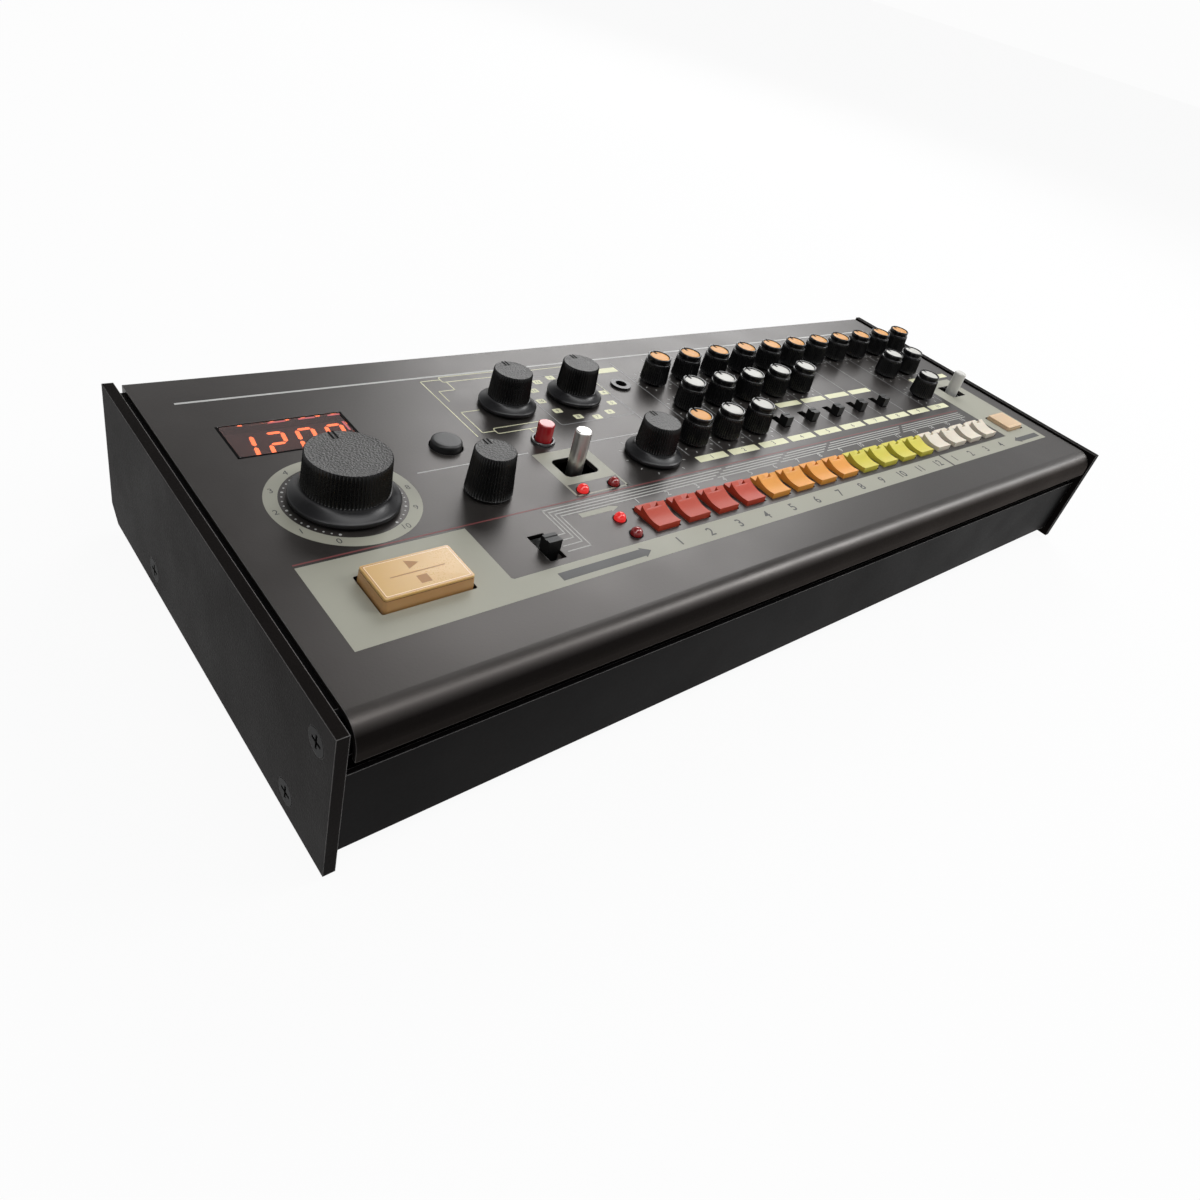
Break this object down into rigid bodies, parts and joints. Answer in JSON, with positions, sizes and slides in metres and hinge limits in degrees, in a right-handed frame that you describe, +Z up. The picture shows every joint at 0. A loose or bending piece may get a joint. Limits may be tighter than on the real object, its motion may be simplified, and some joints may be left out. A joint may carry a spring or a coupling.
{
  "type": "drum machine",
  "caption": "Flat desktop drum machine with control knobs, coloured step keys, push buttons, slide switches, levers and a red digit display.",
  "frame": {"origin": "middle of the outline seen from above, on the surface that the rubber feet stand on", "axes": "+X to the right as the player sees it, +Y to the back, +Z up"},
  "size_m": [0.308, 0.1228, 0.051],
  "materials": {
    "panel_paint": "satin",
    "case_paint": "satin",
    "plate_paint": "fine textured powder coat",
    "board": "matte",
    "display_window": "gloss",
    "red_lamp": "gloss",
    "socket_plastic": "matte",
    "black_screw": "satin",
    "rubber_foot": "matte",
    "amber_button": "translucent satin",
    "red_button": "satin",
    "black_button": "satin",
    "lever_metal": "brushed",
    "lever_plastic": "satin",
    "slide_plastic": "matte",
    "large_knob": "satin, fluted",
    "red_key": "satin",
    "orange_key": "satin",
    "yellow_key": "satin",
    "cream_key": "satin",
    "orange_top_knob": "gloss black with an orange disc",
    "white_top_knob": "gloss black with a white disc"
  },
  "bodies": {
    "case": {"top_panel": "panel_paint", "bottom_case": "case_paint", "side_plates": "plate_paint", "circuit_board": "board", "display_module": "display_window", "indicator_lamps": "red_lamp", "sockets": "socket_plastic", "case_screws": "black_screw", "rubber_feet": "rubber_foot"},
    "start_button": {"start_button": "amber_button"},
    "tap_button": {"tap_button": "amber_button"},
    "clear_button": {"clear_button": "red_button"},
    "function_button": {"function_button": "black_button"},
    "variation_lever": {"variation_lever": "lever_metal"},
    "fill_lever": {"fill_lever": "lever_plastic"},
    "scale_slide": {"scale_slide": "slide_plastic"},
    "voice_slides": {"voice_slides": "slide_plastic"},
    "value_knob": {"value_knob": "large_knob"},
    "mode_selector": {"mode_selector": "large_knob"},
    "voice_selector": {"voice_selector": "large_knob"},
    "tempo_knob": {"tempo_knob": "large_knob"},
    "volume_knob": {"volume_knob": "large_knob"},
    "accent_level_knob": {"accent_level_knob": "orange_top_knob"},
    "bass_level_knob": {"bass_level_knob": "orange_top_knob"},
    "bass_tone_knob": {"bass_tone_knob": "white_top_knob"},
    "bass_decay_knob": {"bass_decay_knob": "white_top_knob"},
    "snare_level_knob": {"snare_level_knob": "orange_top_knob"},
    "snare_tone_knob": {"snare_tone_knob": "white_top_knob"},
    "snare_snap_knob": {"snare_snap_knob": "white_top_knob"},
    "step_key_01": {"step_key_01": "red_key"},
    "step_key_02": {"step_key_02": "red_key"},
    "step_key_03": {"step_key_03": "red_key"},
    "step_key_04": {"step_key_04": "red_key"},
    "step_key_05": {"step_key_05": "orange_key"},
    "step_key_06": {"step_key_06": "orange_key"},
    "step_key_07": {"step_key_07": "orange_key"},
    "step_key_08": {"step_key_08": "orange_key"},
    "step_key_09": {"step_key_09": "yellow_key"},
    "step_key_10": {"step_key_10": "yellow_key"},
    "step_key_11": {"step_key_11": "yellow_key"},
    "step_key_12": {"step_key_12": "yellow_key"},
    "step_key_13": {"step_key_13": "cream_key"},
    "step_key_14": {"step_key_14": "cream_key"},
    "step_key_15": {"step_key_15": "cream_key"},
    "step_key_16": {"step_key_16": "cream_key"},
    "low_tom_level_knob": {"low_tom_level_knob": "orange_top_knob"},
    "low_tom_tune_knob": {"low_tom_tune_knob": "white_top_knob"},
    "mid_tom_level_knob": {"mid_tom_level_knob": "orange_top_knob"},
    "mid_tom_tune_knob": {"mid_tom_tune_knob": "white_top_knob"},
    "high_tom_level_knob": {"high_tom_level_knob": "orange_top_knob"},
    "high_tom_tune_knob": {"high_tom_tune_knob": "white_top_knob"},
    "rim_level_knob": {"rim_level_knob": "orange_top_knob"},
    "clap_level_knob": {"clap_level_knob": "orange_top_knob"},
    "bell_level_knob": {"bell_level_knob": "orange_top_knob"},
    "cymbal_level_knob": {"cymbal_level_knob": "orange_top_knob"},
    "cymbal_tone_knob": {"cymbal_tone_knob": "white_top_knob"},
    "cymbal_decay_knob": {"cymbal_decay_knob": "white_top_knob"},
    "open_hat_level_knob": {"open_hat_level_knob": "orange_top_knob"},
    "open_hat_decay_knob": {"open_hat_decay_knob": "white_top_knob"},
    "closed_hat_level_knob": {"closed_hat_level_knob": "orange_top_knob"}
  },
  "joints": [
    {"name": "start_press", "type": "slide", "parent": "case", "child": "start_button", "axis": [0, 0, -1], "range_m": [0, 0.001], "stiffness_N_per_m": 900, "springref_m": -0.0004},
    {"name": "tap_press", "type": "slide", "parent": "case", "child": "tap_button", "axis": [0, 0, -1], "range_m": [0, 0.001], "stiffness_N_per_m": 800, "springref_m": -0.0004},
    {"name": "clear_press", "type": "slide", "parent": "case", "child": "clear_button", "axis": [0, 0, -1], "range_m": [0, 0.001], "stiffness_N_per_m": 700, "springref_m": -0.0004},
    {"name": "function_press", "type": "slide", "parent": "case", "child": "function_button", "axis": [0, 0, -1], "range_m": [0, 0.001], "stiffness_N_per_m": 700, "springref_m": -0.0004},
    {"name": "variation_tilt", "type": "hinge", "parent": "case", "child": "variation_lever", "pos_m": [-0.0606, -0.0042, 0.0299], "axis": [0, 1, 0], "range_deg": [-11, 11]},
    {"name": "fill_tilt", "type": "hinge", "parent": "case", "child": "fill_lever", "pos_m": [0.1332, -0.0052, 0.0299], "axis": [0, 1, 0], "range_deg": [-11, 11]},
    {"name": "scale_shift", "type": "slide", "parent": "case", "child": "scale_slide", "axis": [0, 1, 0], "range_m": [-0.002, 0.004]},
    {"name": "voice_shift", "type": "slide", "parent": "case", "child": "voice_slides", "axis": [0, 1, 0], "range_m": [0, 0.0034]},
    {"name": "value_turn", "type": "hinge", "parent": "case", "child": "value_knob", "pos_m": [-0.0897, -0.0071, 0.0389], "axis": [0, 0, 1], "continuous": true},
    {"name": "mode_turn", "type": "hinge", "parent": "case", "child": "mode_selector", "pos_m": [-0.0608, 0.028, 0.0389], "axis": [0, 0, 1], "range_deg": [-60, 150]},
    {"name": "voice_turn", "type": "hinge", "parent": "case", "child": "voice_selector", "pos_m": [-0.0367, 0.028, 0.0389], "axis": [0, 0, 1], "range_deg": [-150, 150]},
    {"name": "tempo_turn", "type": "hinge", "parent": "case", "child": "tempo_knob", "pos_m": [-0.1225, 0.0003, 0.0389], "axis": [0, 0, 1], "range_deg": [-150, 150]},
    {"name": "volume_turn", "type": "hinge", "parent": "case", "child": "volume_knob", "pos_m": [-0.0343, -0.0063, 0.0389], "axis": [0, 0, 1], "range_deg": [-150, 150]},
    {"name": "accent_level_turn", "type": "hinge", "parent": "case", "child": "accent_level_knob", "pos_m": [-0.0157, -0.0036, 0.0389], "axis": [0, 0, 1], "range_deg": [-150, 150]},
    {"name": "bass_level_turn", "type": "hinge", "parent": "case", "child": "bass_level_knob", "pos_m": [-0.00158, 0.0306, 0.0389], "axis": [0, 0, 1], "range_deg": [-150, 150]},
    {"name": "bass_tone_turn", "type": "hinge", "parent": "case", "child": "bass_tone_knob", "pos_m": [-0.00158, 0.0138, 0.0389], "axis": [0, 0, 1], "range_deg": [-150, 150]},
    {"name": "bass_decay_turn", "type": "hinge", "parent": "case", "child": "bass_decay_knob", "pos_m": [-0.00158, -0.0036, 0.0389], "axis": [0, 0, 1], "range_deg": [-150, 150]},
    {"name": "snare_level_turn", "type": "hinge", "parent": "case", "child": "snare_level_knob", "pos_m": [0.01254, 0.0306, 0.0389], "axis": [0, 0, 1], "range_deg": [-150, 150]},
    {"name": "snare_tone_turn", "type": "hinge", "parent": "case", "child": "snare_tone_knob", "pos_m": [0.01254, 0.0138, 0.0389], "axis": [0, 0, 1], "range_deg": [-150, 150]},
    {"name": "snare_snap_turn", "type": "hinge", "parent": "case", "child": "snare_snap_knob", "pos_m": [0.01254, -0.0036, 0.0389], "axis": [0, 0, 1], "range_deg": [-150, 150]},
    {"name": "key_01_press", "type": "slide", "parent": "case", "child": "step_key_01", "axis": [0, 0, -1], "range_m": [0, 0.0009], "stiffness_N_per_m": 600, "springref_m": -0.0004},
    {"name": "key_02_press", "type": "slide", "parent": "case", "child": "step_key_02", "axis": [0, 0, -1], "range_m": [0, 0.0009], "stiffness_N_per_m": 600, "springref_m": -0.0004},
    {"name": "key_03_press", "type": "slide", "parent": "case", "child": "step_key_03", "axis": [0, 0, -1], "range_m": [0, 0.0009], "stiffness_N_per_m": 600, "springref_m": -0.0004},
    {"name": "key_04_press", "type": "slide", "parent": "case", "child": "step_key_04", "axis": [0, 0, -1], "range_m": [0, 0.0009], "stiffness_N_per_m": 600, "springref_m": -0.0004},
    {"name": "key_05_press", "type": "slide", "parent": "case", "child": "step_key_05", "axis": [0, 0, -1], "range_m": [0, 0.0009], "stiffness_N_per_m": 600, "springref_m": -0.0004},
    {"name": "key_06_press", "type": "slide", "parent": "case", "child": "step_key_06", "axis": [0, 0, -1], "range_m": [0, 0.0009], "stiffness_N_per_m": 600, "springref_m": -0.0004},
    {"name": "key_07_press", "type": "slide", "parent": "case", "child": "step_key_07", "axis": [0, 0, -1], "range_m": [0, 0.0009], "stiffness_N_per_m": 600, "springref_m": -0.0004},
    {"name": "key_08_press", "type": "slide", "parent": "case", "child": "step_key_08", "axis": [0, 0, -1], "range_m": [0, 0.0009], "stiffness_N_per_m": 600, "springref_m": -0.0004},
    {"name": "key_09_press", "type": "slide", "parent": "case", "child": "step_key_09", "axis": [0, 0, -1], "range_m": [0, 0.0009], "stiffness_N_per_m": 600, "springref_m": -0.0004},
    {"name": "key_10_press", "type": "slide", "parent": "case", "child": "step_key_10", "axis": [0, 0, -1], "range_m": [0, 0.0009], "stiffness_N_per_m": 600, "springref_m": -0.0004},
    {"name": "key_11_press", "type": "slide", "parent": "case", "child": "step_key_11", "axis": [0, 0, -1], "range_m": [0, 0.0009], "stiffness_N_per_m": 600, "springref_m": -0.0004},
    {"name": "key_12_press", "type": "slide", "parent": "case", "child": "step_key_12", "axis": [0, 0, -1], "range_m": [0, 0.0009], "stiffness_N_per_m": 600, "springref_m": -0.0004},
    {"name": "key_13_press", "type": "slide", "parent": "case", "child": "step_key_13", "axis": [0, 0, -1], "range_m": [0, 0.0009], "stiffness_N_per_m": 600, "springref_m": -0.0004},
    {"name": "key_14_press", "type": "slide", "parent": "case", "child": "step_key_14", "axis": [0, 0, -1], "range_m": [0, 0.0009], "stiffness_N_per_m": 600, "springref_m": -0.0004},
    {"name": "key_15_press", "type": "slide", "parent": "case", "child": "step_key_15", "axis": [0, 0, -1], "range_m": [0, 0.0009], "stiffness_N_per_m": 600, "springref_m": -0.0004},
    {"name": "key_16_press", "type": "slide", "parent": "case", "child": "step_key_16", "axis": [0, 0, -1], "range_m": [0, 0.0009], "stiffness_N_per_m": 600, "springref_m": -0.0004},
    {"name": "low_tom_level_turn", "type": "hinge", "parent": "case", "child": "low_tom_level_knob", "pos_m": [0.02666, 0.0306, 0.0389], "axis": [0, 0, 1], "range_deg": [-150, 150]},
    {"name": "low_tom_tune_turn", "type": "hinge", "parent": "case", "child": "low_tom_tune_knob", "pos_m": [0.02666, 0.0138, 0.0389], "axis": [0, 0, 1], "range_deg": [-150, 150]},
    {"name": "mid_tom_level_turn", "type": "hinge", "parent": "case", "child": "mid_tom_level_knob", "pos_m": [0.04078, 0.0306, 0.0389], "axis": [0, 0, 1], "range_deg": [-150, 150]},
    {"name": "mid_tom_tune_turn", "type": "hinge", "parent": "case", "child": "mid_tom_tune_knob", "pos_m": [0.04078, 0.0138, 0.0389], "axis": [0, 0, 1], "range_deg": [-150, 150]},
    {"name": "high_tom_level_turn", "type": "hinge", "parent": "case", "child": "high_tom_level_knob", "pos_m": [0.0549, 0.0306, 0.0389], "axis": [0, 0, 1], "range_deg": [-150, 150]},
    {"name": "high_tom_tune_turn", "type": "hinge", "parent": "case", "child": "high_tom_tune_knob", "pos_m": [0.0549, 0.0138, 0.0389], "axis": [0, 0, 1], "range_deg": [-150, 150]},
    {"name": "rim_level_turn", "type": "hinge", "parent": "case", "child": "rim_level_knob", "pos_m": [0.06902, 0.0306, 0.0389], "axis": [0, 0, 1], "range_deg": [-150, 150]},
    {"name": "clap_level_turn", "type": "hinge", "parent": "case", "child": "clap_level_knob", "pos_m": [0.08314, 0.0306, 0.0389], "axis": [0, 0, 1], "range_deg": [-150, 150]},
    {"name": "bell_level_turn", "type": "hinge", "parent": "case", "child": "bell_level_knob", "pos_m": [0.09726, 0.0306, 0.0389], "axis": [0, 0, 1], "range_deg": [-150, 150]},
    {"name": "cymbal_level_turn", "type": "hinge", "parent": "case", "child": "cymbal_level_knob", "pos_m": [0.11138, 0.0306, 0.0389], "axis": [0, 0, 1], "range_deg": [-150, 150]},
    {"name": "cymbal_tone_turn", "type": "hinge", "parent": "case", "child": "cymbal_tone_knob", "pos_m": [0.11138, 0.0138, 0.0389], "axis": [0, 0, 1], "range_deg": [-150, 150]},
    {"name": "cymbal_decay_turn", "type": "hinge", "parent": "case", "child": "cymbal_decay_knob", "pos_m": [0.11138, -0.0036, 0.0389], "axis": [0, 0, 1], "range_deg": [-150, 150]},
    {"name": "open_hat_level_turn", "type": "hinge", "parent": "case", "child": "open_hat_level_knob", "pos_m": [0.1255, 0.0306, 0.0389], "axis": [0, 0, 1], "range_deg": [-150, 150]},
    {"name": "open_hat_decay_turn", "type": "hinge", "parent": "case", "child": "open_hat_decay_knob", "pos_m": [0.1255, 0.0138, 0.0389], "axis": [0, 0, 1], "range_deg": [-150, 150]},
    {"name": "closed_hat_level_turn", "type": "hinge", "parent": "case", "child": "closed_hat_level_knob", "pos_m": [0.13962, 0.0306, 0.0389], "axis": [0, 0, 1], "range_deg": [-150, 150]}
  ]
}
